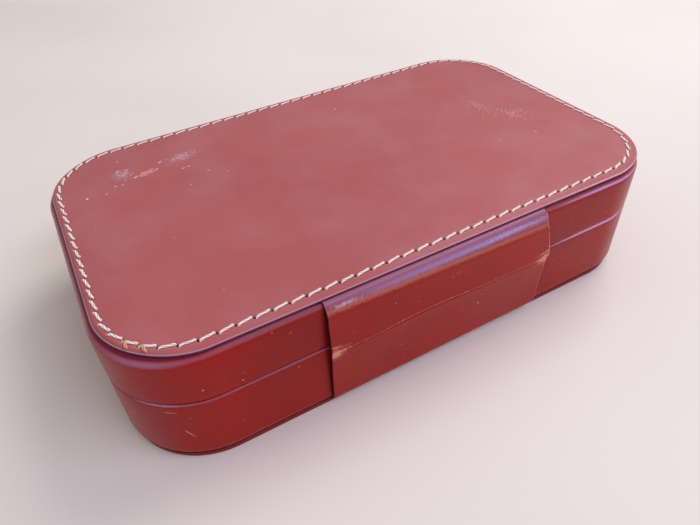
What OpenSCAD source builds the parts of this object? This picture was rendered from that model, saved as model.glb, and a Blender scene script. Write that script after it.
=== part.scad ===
// Hard leather case that keeps several pairs of glasses, one pair in each compartment.
// The base and the lid are made alike: a bent wooden wall with a board let into it, wrapped in
// side leather that rolls over the rim and turns in under a flat leather panel.
// The lid turns on a concealed pin hinge, under a leather hinge cover at +Y.
// Origin: centre of the resting face. +Z is up, +Y is the hinge side, X runs along the case.

/* [Case] */
// Length over the side leather
case_l = 266; // [230:1:320]
// Width over the side leather, front to hinge side
case_w = 159; // [150:1:185]
// Height from the resting face to the rim of the base
base_h = 35.5; // [32:0.5:60]
// Height from the rim of the base to the face of the top panel
lid_h = 26; // [22:0.5:40]
// Radius of the upright corners, over the side leather
corner_r = 36.5; // [28:0.5:44]
// Gap between the two rims when the lid is shut
seam_gap = 0.2; // [0.1:0.05:0.4]

/* [Walls] */
// Thickness of the side leather
skin_t = 1.2; // [1:0.1:1.4]
// Thickness of the bent wooden walls
frame_t = 4; // [3.6:0.1:6]
// Thickness of the floor board and of the top board
board_t = 3; // [2:0.1:4]
// Thickness of the suede-faced card that lines the walls
lining_t = 1.6; // [1.2:0.1:2.4]
// Width of side leather turned in under each panel
turn_in = 14; // [12:0.5:20]
// Radius of the shoulder where the side leather turns in
shoulder_r = 4.2; // [2:0.1:4.4]
// Radius of the rolled rim on each side of the seam
rim_r = 1.5; // [1.3:0.1:2]

/* [Panels] */
// Thickness of the leather panels on the lid and under the base
panel_t = 2; // [1.6:0.1:2.6]
// Distance from the wall's outer face in to the cut edge of a panel
panel_inset = 1.2; // [0.8:0.1:1.8]
// Radius of the burnished edge of a panel
panel_edge_r = 0.5; // [0.3:0.1:0.7]

/* [Stitching] */
// Distance from the panel's cut edge in to the row of stitches
stitch_inset = 4.3; // [3:0.1:6]
// Distance from one awl hole to the next
stitch_step = 6.8; // [5:0.1:9]
// Width of a stitch of waxed thread
thread_w = 0.9; // [0.7:0.05:1.1]
// Height of a stitch above the panel
thread_rise = 0.4; // [0.3:0.05:0.5]
// Length of an awl hole
awl_l = 2.2; // [1.8:0.1:2.6]
// Width of an awl hole
awl_w = 0.9; // [0.8:0.05:1.2]
// Angle between an awl hole and the row
awl_angle = 120; // [105:1:135]

/* [Inside] */
// Height of the collar, where the base's lining stands above the rim to guide the lid
collar_h = 5; // [4:0.5:8]
// Gap between the collar and the wooden wall of the lid
collar_gap = 0.4; // [0.3:0.05:0.6]
// Gap between the collar and the lid's lining above it
lining_gap = 0.8; // [0.6:0.1:1.5]
// Thickness of a divider
divider_t = 3.2; // [2.4:0.1:5]
// Distance from the rim of the base down to the top of a divider
divider_drop = 4; // [1:0.5:12]
// Thickness of a floor pad
floor_pad_t = 2.5; // [2:0.1:4]
// Thickness of the pad inside the lid
lid_pad_t = 2.5; // [2:0.1:4]
// Radius of the rolled edge of the lid pad
pad_edge_r = 1.2; // [0.8:0.1:1.8]
// Gap between a pad and what surrounds it
pad_gap = 0.3; // [0.2:0.05:0.5]

/* [Hinge] */
// Length of the hinge
hinge_l = 104; // [80:1:108]
// Height of each leaf, measured from the axis
leaf_h = 13; // [11:0.5:15]
// Thickness of a leaf
leaf_t = 0.8; // [0.6:0.1:1]
// Radius of the pin
pin_r = 0.6; // [0.5:0.05:0.75]
// Radial gap between the pin and a knuckle
pin_gap = 0.05; // [0.02:0.01:0.09]
// Outer radius of a knuckle
knuckle_r = 1.25; // [1.15:0.05:1.5]
// Gap between the ends of two knuckles
knuckle_gap = 0.2; // [0.15:0.05:0.4]
// Gap between a knuckle and the wall
wall_gap = 0.1; // [0.1:0.05:0.3]
// Radius of a screw's shank
screw_r = 0.9; // [0.7:0.05:1]
// Radius of a screw's countersunk head
screw_head_r = 1.7; // [1.5:0.05:1.9]
// Length of a screw
screw_l = 5.2; // [4.5:0.1:5.5]

/* [Hinge cover] */
// Length of the hinge cover along the case
cover_l = 110; // [110:1:130]
// Thickness of the cover over the lid's leaf
cover_t = 2.1; // [1.6:0.1:2.6]
// Thickness of the cover over the knuckles
crease_t = 1.4; // [1:0.1:1.8]
// Thickness of the cover at its foot
foot_t = 1.9; // [1.4:0.1:2.4]
// Distance from the wall to the upper edge of the cover's sloping band, under the top panel
band_out = 0.4; // [0.2:0.1:1]
// Height of the sloping band
band_h = 5.5; // [4:0.1:7]
// Length of the skived tail under each panel
tail_l = 10; // [8:0.5:11]
// Thickness of a skived tail
tail_t = 0.8; // [0.5:0.05:0.9]
// Angle above and below the axis at which each half of the cover ends
crease_angle = 60; // [57:1:66]

/* [Hidden] */
$fn = 96;

BASE = -1;               // which half a shared module makes
LID = 1;
compartments = 4;        // as many as NODES has floor pads
knuckles = 7;            // odd, so that the base holds the pin at both ends
screws = 5;              // in each leaf
eps = 0.01;              // overshoot of a cutting shape
screw_fit = 0.03;        // gap round a screw in its hole
thread_fit = 0.02;       // gap round a thread in an awl hole
let_in = 0.1;            // gap between the cover and what it is let in over
knuckle_room = 0.3;      // gap between a knuckle and whatever turns past it
slot_w = 0.5;            // width of the slot in a screw's head
slot_depth = 0.35;

burgundy = "#7a2b28";
tan_suede = "#b08a5e";
beech = "#c9a36b";
card = "#cdbfa4";
brass = "#b79a4b";
linen = "#e9e0cf";

// Heights
skin_low = panel_t;                          // underside of the base's turned-in leather
skin_high = base_h + lid_h - panel_t;        // top of the lid's turned-in leather
top_face = skin_high + panel_t;
lid_low = base_h + seam_gap;                 // rim of the lid
floor_low = skin_low + skin_t;               // underside of the floor board
floor_high = floor_low + board_t;
ceiling_high = skin_high - skin_t;           // top of the top board
ceiling_low = ceiling_high - board_t;
collar_high = base_h + collar_h;
divider_h = base_h - divider_drop - floor_high;

// Insets from the outer face of the wall
frame_in = skin_t + frame_t;                 // inner face of the wooden wall
lining_in = frame_in + lining_t;             // inner face of the lining
pad_in = lining_in + pad_gap;

// Lengths of the straight sides between the corners
side_l = case_l - 2 * corner_r;
end_l = case_w - 2 * corner_r;

// Hinge
wall_y = case_w / 2;
axis_out = wall_gap + knuckle_r;             // from the wall's outer face
axis_y = wall_y + axis_out;
axis_z = base_h + seam_gap / 2;
knuckle_step = (hinge_l + knuckle_gap) / knuckles;
knuckle_l = knuckle_step - knuckle_gap;
leaf_start = knuckle_r + knuckle_room;       // nearest edge of a leaf to the axis
screw_out = (leaf_start + leaf_h) / 2;       // from the axis to a row of screws
countersink = screw_head_r - screw_r;        // a 90 degree head

// Hinge cover
cover_out = leaf_t + cover_t;                // face of the cover on the lid, from the wall
crease_out = wall_gap + 2 * knuckle_r + crease_t;
crease_reach = 3 * crease_out;               // longer than the cover is thick

// Compartments
inner_l = case_l - 2 * lining_in;
compartment_step = (inner_l + divider_t) / compartments;

// Row of stitches
row_in = panel_inset + stitch_inset;
row_r = corner_r - row_in;
row_arc = row_r * PI / 2;
half_row = side_l + end_l + 2 * row_arc;
half_stitches = round(half_row / stitch_step);
awl_reach = 0.3 * awl_l;                     // from the middle of a hole to either thread in it
// Radius of the thread down in a hole: as thick as the tapering hole lets it be there
thread_leg_r = (1 - 2 * awl_reach / awl_l) / norm([2 / awl_l, 2 / awl_w]) - thread_fit;

// ---- shapes that repeat ----

// The case's outline, moved in from the outer face of the wall.
module plan(inset) {
  l = case_l - 2 * inset;
  w = case_w - 2 * inset;
  r = corner_r - inset;
  square([l - 2 * r, w], center = true);
  square([l, w - 2 * r], center = true);
  for (x = [-1, 1], y = [-1, 1])
    translate([x * (l / 2 - r), y * (w / 2 - r)])
      circle(r);
}

// A flat piece with the case's outline.
module slab(inset, low, high) {
  translate([0, 0, low])
    linear_extrude(high - low)
      plan(inset);
}

// Carries a section round the case. In the section x is the distance from the centre of a
// corner, so that the outer face of the wall is at x = corner_r, and y is the height.
module round_case() {
  for (turn = [0, 180])
    rotate([0, 0, turn]) {
      along_wall(side_l, case_w / 2 - corner_r)
        children();
      rotate([0, 0, -90])
        along_wall(end_l, case_l / 2 - corner_r)
          children();
      for (flip = [0, 1])
        mirror([flip, 0, 0])
          translate([case_l / 2 - corner_r, case_w / 2 - corner_r, 0])
            rotate_extrude(angle = 90)
              children();
    }
}

// Extrudes a section along X, with its own x laid along Y from y.
module along_wall(length, y) {
  translate([-length / 2, y, 0])
    rotate([90, 0, 90])
      linear_extrude(length)
        children();
}

// What is cut away to round a corner of radius r whose tip is at the origin.
module corner_cut(r) {
  difference() {
    translate([-r, -r])
      square(r + eps);
    translate([-r, -r])
      circle(r);
  }
}

// A rectangular section whose two corners on the x_out side are rounded.
module rounded_section(x_in, x_out, low, high, r_low, r_high) {
  difference() {
    translate([x_in, low])
      square([x_out - x_in, high - low]);
    translate([x_out, low])
      mirror([0, 1])
        corner_cut(r_low);
    translate([x_out, high])
      corner_cut(r_high);
  }
}

// A plate with the case's outline and rounded edges.
module edged_plate(inset, low, high, r_low, r_high) {
  round_case()
    rounded_section(0, corner_r - inset, low, high, r_low, r_high);
  translate([-side_l / 2, -end_l / 2, low])
    cube([side_l, end_l, high - low]);
}

// ---- walls ----

// Section of a whole wall, from an inset under its surface in to a depth.
module wall_section(side, inset, depth) {
  x_in = corner_r - depth;
  x_out = corner_r - inset;
  shoulder = shoulder_r - inset;
  rim = rim_r - inset;
  if (side == BASE)
    rounded_section(x_in, x_out, skin_low + inset, base_h - inset, shoulder, rim);
  else
    rounded_section(x_in, x_out, lid_low + inset, skin_high - inset, rim, shoulder);
}

// The leather is the wall's skin: over the rim as far as the wood goes, and turned in at the
// panel as far as turn_in.
module side_leather(side) {
  difference() {
    round_case()
      difference() {
        wall_section(side, 0, turn_in);
        wall_section(side, skin_t, turn_in + eps);
        translate([corner_r - turn_in - eps, side == BASE ? floor_low : lid_low - eps])
          square([turn_in + eps - frame_in, side == BASE ? base_h : ceiling_high - lid_low + eps]);
      }
    tail_notch(side == BASE ? skin_low : skin_high - tail_t);
    screw_holes(side);
  }
}

// Room for a tail of the hinge cover, in the turned-in leather.
module tail_notch(low) {
  translate([-cover_l / 2 - let_in, wall_y - tail_l - let_in, low - eps])
    cube([cover_l + 2 * let_in, tail_l + let_in + eps, tail_t + 2 * eps]);
}

module wooden_wall(side) {
  difference() {
    round_case()
      wall_section(side, skin_t, frame_in);
    screw_holes(side);
  }
}

module base_side_leather() color(burgundy) side_leather(BASE);
module lid_side_leather() color(burgundy) side_leather(LID);
module base_frame() color(beech) wooden_wall(BASE);
module lid_frame() color(beech) wooden_wall(LID);
module base_floor_board() color(beech) slab(frame_in, floor_low, floor_high);
module lid_top_board() color(beech) slab(frame_in, ceiling_low, ceiling_high);

// An infill levels the space that the turned-in leather leaves.
module base_infill() color(card) slab(turn_in + pad_gap, skin_low, floor_low);
module lid_infill() color(card) slab(turn_in + pad_gap, ceiling_high, skin_high);

module bottom_panel() color(burgundy)
  edged_plate(panel_inset, 0, panel_t, panel_edge_r, panel_edge_r);

module top_panel() color(burgundy)
  difference() {
    edged_plate(panel_inset, skin_high, top_face, panel_edge_r, panel_edge_r);
    for (i = [0 : 2 * half_stitches - 1])
      awl_hole(hole(i));
  }

// ---- stitching ----
// The row runs anticlockwise and starts at the end of the hinge side that lies at +X.

// Place and heading at distance s along one half of the row.
function half_row_at(s) =
  s < side_l ? [side_l / 2 - s, wall_y - row_in, 180] :
  s < side_l + row_arc ? corner_at(-side_l / 2, end_l / 2, 90, s - side_l) :
  s < side_l + row_arc + end_l ?
    [row_in - case_l / 2, end_l / 2 + side_l + row_arc - s, 270] :
  corner_at(-side_l / 2, -end_l / 2, 180, s - side_l - row_arc - end_l);

// The same, at distance s round the corner whose centre is at x and y.
function corner_at(x, y, start, s) =
  let (turn = start + 90 * s / row_arc)
  [x + row_r * cos(turn), y + row_r * sin(turn), turn + 90];

// Place and heading of an awl hole.
function hole(i) =
  let (half = floor(i / half_stitches) % 2 == 0 ? 1 : -1)
  let (p = half_row_at((i % half_stitches + 0.5) * half_row / half_stitches))
  [half * p[0], half * p[1], half > 0 ? p[2] : p[2] + 180];

// Where a thread goes down in a hole: end is 1 towards the middle of the panel, else -1.
function thread_at(p, end) =
  let (turn = p[2] + awl_angle)
  [p[0] + end * awl_reach * cos(turn), p[1] + end * awl_reach * sin(turn)];

module awl_hole(p) {
  translate([p[0], p[1], skin_high - eps])
    rotate([0, 0, p[2] + awl_angle])
      linear_extrude(panel_t + 2 * eps)
        polygon([[awl_l / 2, 0], [0, awl_w / 2], [-awl_l / 2, 0], [0, -awl_w / 2]]);
}

// One stitch: a low arch of thread along the face, and a leg down into each hole.
module stitch(from, to) {
  along = to - from;
  translate([from[0], from[1], top_face])
    rotate([0, 0, atan2(along[1], along[0])])
      rotate([90, 0, 90])
        linear_extrude(norm(along))
          polygon([
            [-thread_w / 2, 0],
            [thread_w / 2, 0],
            [thread_w / 4, thread_rise],
            [-thread_w / 4, thread_rise]
          ]);
  for (end = [from, to])
    translate([end[0], end[1], skin_high])
      cylinder(r = thread_leg_r, h = panel_t + thread_rise / 2, $fn = 6);
}

module top_stitching() color(linen)
  for (i = [0 : 2 * half_stitches - 1])
    stitch(thread_at(hole(i), -1), thread_at(hole(i + 1), 1));

// ---- lining, dividers and pads ----

module base_lining() color(tan_suede)
  round_case()
    union() {
      translate([corner_r - lining_in, floor_high])
        square([lining_t, base_h - floor_high]);
      translate([corner_r - lining_in, base_h - eps])
        square([lining_t - collar_gap, collar_h + eps]);
    }

module lid_lining() color(tan_suede)
  round_case()
    translate([corner_r - lining_in, collar_high + lining_gap])
      square([lining_t, ceiling_low - collar_high - lining_gap]);

// Middle of the divider that follows compartment i, counted from 1 at -X.
function divider_x(i) = i * compartment_step - (inner_l + divider_t) / 2;

module divider(i) color(tan_suede)
  translate([divider_x(i), wall_y - lining_in, floor_high])
    rotate([90, 0, 0])
      linear_extrude(case_w - 2 * lining_in)
        union() {
          translate([-divider_t / 2, 0])
            square([divider_t, divider_h - divider_t / 2]);
          translate([0, divider_h - divider_t / 2])
            circle(divider_t / 2);
        }

module floor_pad(i) color(tan_suede)
  translate([0, 0, floor_high])
    linear_extrude(floor_pad_t)
      intersection() {
        plan(pad_in);
        translate([divider_x(i) - compartment_step / 2, 0])
          square([compartment_step - divider_t - 2 * pad_gap, case_w], center = true);
      }

module divider_1() divider(1);
module divider_2() divider(2);
module divider_3() divider(3);
module floor_pad_1() floor_pad(1);
module floor_pad_2() floor_pad(2);
module floor_pad_3() floor_pad(3);
module floor_pad_4() floor_pad(4);

module lid_pad() color(tan_suede)
  edged_plate(pad_in, ceiling_low - lid_pad_t, ceiling_low, pad_edge_r, eps);

// ---- hinge ----

module on_axis(from, length, r) {
  translate([from, axis_y, axis_z])
    rotate([0, 90, 0])
      cylinder(r = r, h = length);
}

// Places its children at each screw of one leaf, with +Z pointing into the wall.
module at_screws(side) {
  for (i = [0 : screws - 1])
    translate([(i - (screws - 1) / 2) * hinge_l / screws, wall_y + leaf_t,
      axis_z + side * screw_out])
      rotate([90, 0, 0])
        children();
}

module screw_shape(gap) {
  cylinder(r = screw_r + gap, h = screw_l + gap);
  cylinder(r1 = screw_head_r + gap, r2 = screw_r + gap, h = countersink);
}

module screw_holes(side) {
  at_screws(side) {
    screw_shape(screw_fit);
    translate([0, 0, -leaf_t])
      cylinder(r = screw_head_r + screw_fit, h = leaf_t + eps);
  }
}

module screw_set(side) {
  at_screws(side)
    difference() {
      screw_shape(0);
      translate([-2 * screw_head_r, -slot_w / 2, -eps])
        cube([4 * screw_head_r, slot_w, slot_depth + eps]);
    }
}

// A leaf and its knuckles. The base has knuckles 0, 2, 4 and 6, and the lid the others.
module leaf(side) {
  difference() {
    union() {
      translate([-hinge_l / 2, wall_y, side == LID ? axis_z + leaf_start : axis_z - leaf_h])
        cube([hinge_l, leaf_t, leaf_h - leaf_start]);
      for (i = [side == LID ? 1 : 0 : 2 : knuckles - 1]) {
        start = i * knuckle_step - hinge_l / 2;
        on_axis(start, knuckle_l, knuckle_r);
        translate([start, wall_y, side == LID ? axis_z : axis_z - leaf_start - eps])
          cube([knuckle_l, leaf_t, leaf_start + eps]);
      }
    }
    on_axis(-hinge_l / 2 - 1, hinge_l + 2, pin_r + pin_gap);
    screw_holes(side);
  }
}

module hinge_leaf_base() color(brass) leaf(BASE);
module hinge_leaf_lid() color(brass) leaf(LID);
module hinge_screws_base() color(brass) screw_set(BASE);
module hinge_screws_lid() color(brass) screw_set(LID);
module hinge_pin() color(brass) on_axis(-hinge_l / 2, hinge_l, pin_r);

// ---- hinge cover ----
// In its section x is the distance from the wall's outer face, and y is the height.

// Shape of the cover's half on its outer side, with its tail, before it is fitted over the wall.
module cover_outline(side) {
  edge = side == LID ? skin_high : skin_low;
  out = side == LID ? cover_out : foot_t;
  difference() {
    polygon([
      [-tail_l, edge],
      [side == LID ? band_out : out, edge],
      [out, edge - side * (side == LID ? band_h : shoulder_r)],
      [crease_out, axis_z],
      [0, axis_z],
      [0, edge - side * shoulder_r],
      [-shoulder_r, edge - side * shoulder_r],
      [-shoulder_r, edge - side * tail_t],
      [-tail_l, edge - side * tail_t]
    ]);
    if (side == BASE)
      translate([out, edge])
        mirror([0, 1])
          corner_cut(shoulder_r);
  }
}

// The two halves end where they would meet when the lid is wide open.
module crease_gap() {
  translate([axis_out, axis_z]) {
    circle(knuckle_r + knuckle_room);
    polygon([
      [0, 0],
      [crease_reach * cos(crease_angle), crease_reach * sin(crease_angle)],
      [crease_reach, 0],
      [crease_reach * cos(crease_angle), -crease_reach * sin(crease_angle)]
    ]);
  }
}

module cover_half(side) {
  along_wall(cover_l, wall_y)
    difference() {
      cover_outline(side);
      difference() {
        translate([-corner_r, 0])
          wall_section(side, 0, 2 * shoulder_r);
        translate([-tail_l, side == LID ? skin_high - tail_t : skin_low - eps])
          square([2 * tail_l, tail_t + eps]);
      }
      translate([-eps, side == LID ? axis_z : axis_z - leaf_h - let_in])
        square([leaf_t + let_in + eps, leaf_h + let_in]);
      crease_gap();
    }
}

module hinge_cover_base() color(burgundy) cover_half(BASE);
module hinge_cover_lid() color(burgundy) cover_half(LID);

bottom_panel();
base_infill();
base_side_leather();
base_frame();
base_floor_board();
base_lining();
divider_1();
divider_2();
divider_3();
floor_pad_1();
floor_pad_2();
floor_pad_3();
floor_pad_4();
hinge_leaf_base();
hinge_pin();
hinge_screws_base();
hinge_cover_base();
lid_frame();
lid_top_board();
lid_side_leather();
lid_infill();
top_panel();
top_stitching();
lid_lining();
lid_pad();
hinge_leaf_lid();
hinge_screws_lid();
hinge_cover_lid();
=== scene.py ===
"""Looks of a hard leather case for several pairs of glasses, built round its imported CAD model.

Everything stands in the frame's own axes: origin at the centre of the resting face, +Z up, +Y the
hinge side and X along the case. Sizes in this file are in millimetres, and meshes are in metres.
"""

import logging
import math
import random
from collections.abc import Sequence
from dataclasses import dataclass, field
from enum import Enum

import bpy
import numpy as np
from mathutils import Euler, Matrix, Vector, noise


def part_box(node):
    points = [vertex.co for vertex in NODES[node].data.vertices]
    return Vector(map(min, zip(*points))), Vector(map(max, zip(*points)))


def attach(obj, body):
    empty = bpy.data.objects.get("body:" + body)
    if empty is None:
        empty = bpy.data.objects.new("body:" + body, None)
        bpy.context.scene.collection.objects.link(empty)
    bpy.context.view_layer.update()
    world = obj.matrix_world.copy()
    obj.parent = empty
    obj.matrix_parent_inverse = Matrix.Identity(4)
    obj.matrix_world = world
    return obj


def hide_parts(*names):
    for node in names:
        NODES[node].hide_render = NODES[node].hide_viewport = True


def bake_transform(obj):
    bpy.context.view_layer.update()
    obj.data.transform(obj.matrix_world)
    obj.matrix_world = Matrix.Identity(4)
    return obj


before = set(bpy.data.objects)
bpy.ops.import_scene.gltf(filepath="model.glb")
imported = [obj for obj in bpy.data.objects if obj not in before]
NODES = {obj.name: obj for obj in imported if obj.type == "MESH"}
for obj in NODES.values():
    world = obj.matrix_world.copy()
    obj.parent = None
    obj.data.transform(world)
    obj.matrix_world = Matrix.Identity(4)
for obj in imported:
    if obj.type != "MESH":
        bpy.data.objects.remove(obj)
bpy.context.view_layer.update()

MM = 0.001
log = logging.getLogger("glasses_case")


class Half(Enum):
    """The two halves of the case, each with the body that carries it and the side its panel is on."""

    BASE = ("base", -1)
    LID = ("lid", 1)

    @property
    def body(self) -> str:
        """Name of the CAD body that this half's pieces ride on."""
        return self.value[0]

    @property
    def up(self) -> int:
        """Side on which the half has its panel: 1 is up and -1 is down."""
        return self.value[1]


# ---- outline and meshes ----


@dataclass(frozen=True)
class Stations:
    """Places round the case. Each has a core point, and the outward direction of the wall there."""

    core: np.ndarray
    out: np.ndarray
    corner_r: float

    def at(self, inset: float, draw_in: float = 0.0) -> np.ndarray:
        """Points moved in from the outer face of the wall.

        Args:
            inset: Distance in from the outer face.
            draw_in: Share of the way from the core to the spine of the case, for the inner rings
                of a flat piece.

        Returns:
            One row of x and y for each station.
        """
        half_l, half_w = np.abs(self.core).max(axis=0)
        spine = np.stack(
            [np.clip(self.core[:, 0], half_w - half_l, half_l - half_w), np.zeros(len(self.core))], axis=1
        )
        core = self.core + (spine - self.core) * draw_in
        return core + self.out * (self.corner_r - inset) * (1.0 - draw_in)


@dataclass(frozen=True)
class Outline:
    """Rounded rectangle of the case, over the side leather."""

    length: float
    width: float
    corner_r: float

    def stretches(self, inset: float) -> list[float]:
        """Lengths of a side, a corner, an end and a corner, twice, of the outline moved in."""
        corner = (self.corner_r - inset) * math.pi / 2
        return [self.length - 2 * self.corner_r, corner, self.width - 2 * self.corner_r, corner] * 2

    def walk(self, distances: Sequence[float], inset: float) -> Stations:
        """Stations at distances round the case.

        The walk starts where the hinge side begins at +X, and runs anticlockwise seen from above.

        Args:
            distances: Distances along the outline moved in by the inset.
            inset: How far that line lies in from the outer face.

        Returns:
            The stations.
        """
        lengths = self.stretches(inset)
        knots = np.concatenate([[0.0], np.cumsum(lengths)])
        along = np.mod(distances, knots[-1])
        # At each knot: which side of the middle the core point is on, and the quarter turns so far.
        x = np.interp(along, knots, np.array([1, -1, -1, -1, -1, 1, 1, 1, 1]) * lengths[0] / 2)
        y = np.interp(along, knots, np.array([1, 1, 1, -1, -1, -1, -1, 1, 1]) * lengths[2] / 2)
        angle = np.interp(along, knots, np.array([1, 1, 2, 2, 3, 3, 4, 4, 5]) * math.pi / 2)
        out = np.stack([np.cos(angle), np.sin(angle)], axis=1)
        return Stations(np.stack([x, y], axis=1), out, self.corner_r)

    def even_walk(self, step: float, corner_steps: int) -> Stations:
        """Stations for a plain sweep: evenly along each side, and finer round the corners.

        Args:
            step: Distance between stations along the straight sides.
            corner_steps: Stations in each corner.

        Returns:
            The stations.
        """
        lengths = self.stretches(0.0)
        counts = [round(lengths[0] / step), corner_steps, round(lengths[2] / step), corner_steps] * 2
        distances, start = [], 0.0
        for length, count in zip(lengths, counts):
            distances += [start + length * i / count for i in range(count)]
            start += length
        return self.walk(distances, 0.0)


@dataclass
class Grid:
    """Rings of points in millimetres, one in each row, which become a closed tube or loop."""

    points: np.ndarray
    looped: bool = False  # whether the last ring joins the first; if not, both get a cap

    def faces(self, first: int) -> list[list[int]]:
        """Faces between the rings, and the caps.

        Args:
            first: Number of its first vertex.

        Returns:
            Corner numbers of each face, with the caps last.
        """
        rings, columns = self.points.shape[:2]
        index = np.arange(rings * columns).reshape(rings, columns) + first
        caps = [] if self.looped else [index[0].tolist(), index[-1].tolist()]
        index = np.pad(index, ((0, int(self.looped)), (0, 1)), mode="wrap")
        quads = [index[:-1, :-1], index[:-1, 1:], index[1:, 1:], index[1:, :-1]]
        return np.stack(quads, axis=-1).reshape(-1, 4).tolist() + caps


def make_piece(
    name: str, grids: Sequence[Grid], finish: "Finish", slot: str, replaces: Sequence[str],
    half: Half | None, values: dict[str, np.ndarray] | None = None
) -> bpy.types.Object:
    """Join grids of points into one smooth mesh piece.

    Args:
        name: Name of the piece.
        grids: The grids that make it up.
        finish: What it is made of.
        slot: Not used; it names the record's material slot for the piece.
        replaces: CAD nodes that it stands for.
        half: The half that carries it, or None if the caller places it.
        values: Named values of each vertex, for the finish to read.

    Returns:
        The piece.
    """
    faces, first = [], 0
    for grid in grids:
        faces += grid.faces(first)
        first += grid.points.shape[0] * grid.points.shape[1]
    points = np.concatenate([grid.points.reshape(-1, 3) for grid in grids]) * MM
    mesh = bpy.data.meshes.new(name)
    mesh.from_pydata(points.tolist(), [], faces)
    for key, numbers in (values or {}).items():
        kind, field_name = ("FLOAT_VECTOR", "vector") if numbers.ndim == 2 else ("FLOAT", "value")
        made = mesh.attributes.new(key, kind, "POINT")
        made.data.foreach_set(field_name, numbers.astype(np.float32).ravel())
    mesh.validate()
    face_outwards(mesh)
    mesh.polygons.foreach_set("use_smooth", [True] * len(mesh.polygons))
    mesh.materials.append(finish.material())
    piece = bpy.data.objects.new(name, mesh)
    bpy.context.scene.collection.objects.link(piece)
    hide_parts(*replaces)
    if half:
        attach(piece, half.body)
    log.info("%s: %d vertices, %d faces", name, len(mesh.vertices), len(mesh.polygons))
    return piece


def face_outwards(mesh: bpy.types.Mesh) -> None:
    """Turn a closed mesh's faces outwards, by the sign of the volume that they enclose.

    Args:
        mesh: The closed mesh.
    """
    mesh.calc_loop_triangles()
    corners = np.zeros(len(mesh.loop_triangles) * 3, np.int64)
    mesh.loop_triangles.foreach_get("vertices", corners)
    places = np.zeros(len(mesh.vertices) * 3)
    mesh.vertices.foreach_get("co", places)
    a, b, c = places.reshape(-1, 3)[corners].reshape(-1, 3, 3).transpose(1, 0, 2)
    if np.einsum("ij,ij->i", a, np.cross(b, c)).sum() < 0:
        mesh.flip_normals()


def ripple(points: np.ndarray, size: float, seed: float) -> np.ndarray:
    """Smooth noise from about -1 to 1 at each point.

    Args:
        points: Rows of x, y and z.
        size: Size of one ripple.
        seed: Shifts the noise, so that two pieces differ.

    Returns:
        One number for each point.
    """
    flat = (points.reshape(-1, 3) / size + seed).tolist()
    return np.array([noise.noise(Vector(p)) for p in flat]).reshape(points.shape[:-1])


def smooth_step(share: np.ndarray) -> np.ndarray:
    """Ease from 0 to 1 as share goes from 0 to 1."""
    share = np.clip(share, 0.0, 1.0)
    return share * share * (3 - 2 * share)


def bell(away: np.ndarray, width: float) -> np.ndarray:
    """Bell curve: 1 where away is 0, and about a third where it is width."""
    return np.exp(-((away / width) ** 2))


def arc(
    centre: tuple[float, float], radius: float, start: float, end: float, steps: int = 8
) -> list[tuple[float, float]]:
    """Points of an arc in a section, with its angles in degrees and both ends included."""
    angles = np.radians(np.linspace(start, end, steps + 1))
    return [(centre[0] + radius * math.cos(a), centre[1] + radius * math.sin(a)) for a in angles]


def densify(path: Sequence[tuple[float, float]], step: float, closed: bool = False) -> np.ndarray:
    """Add points along a section's long stretches, so that none is longer than step.

    Args:
        path: Points of the section.
        step: Longest stretch that may stay.
        closed: Whether the last point joins the first.

    Returns:
        The points, one in each row.
    """
    points = [*path, path[0]] if closed else list(path)
    made = []
    for (x0, y0), (x1, y1) in zip(points, points[1:]):
        count = max(1, math.ceil(math.hypot(x1 - x0, y1 - y0) / step))
        made += [(x0 + (x1 - x0) * i / count, y0 + (y1 - y0) * i / count) for i in range(count)]
    return np.array(made if closed else [*made, points[-1]])


def sweep(stations: Stations, section: np.ndarray) -> np.ndarray:
    """Carry a section round the case.

    Args:
        stations: Where round the case.
        section: Rows of inset from the outer face and height.

    Returns:
        Points, with one row for each point of the section and one column for each station.
    """
    rings = [stations.at(inset) for inset, _ in section]
    heights = np.repeat(section[:, 1:2], len(stations.core), axis=1)
    return np.concatenate([np.array(rings), heights[..., None]], axis=-1)


# ---- sizes ----


def box_mm(node: str) -> tuple[np.ndarray, np.ndarray]:
    """Lowest and highest corner of a CAD node at rest, in millimetres."""
    low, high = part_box(node)
    return np.array(low) / MM, np.array(high) / MM


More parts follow.
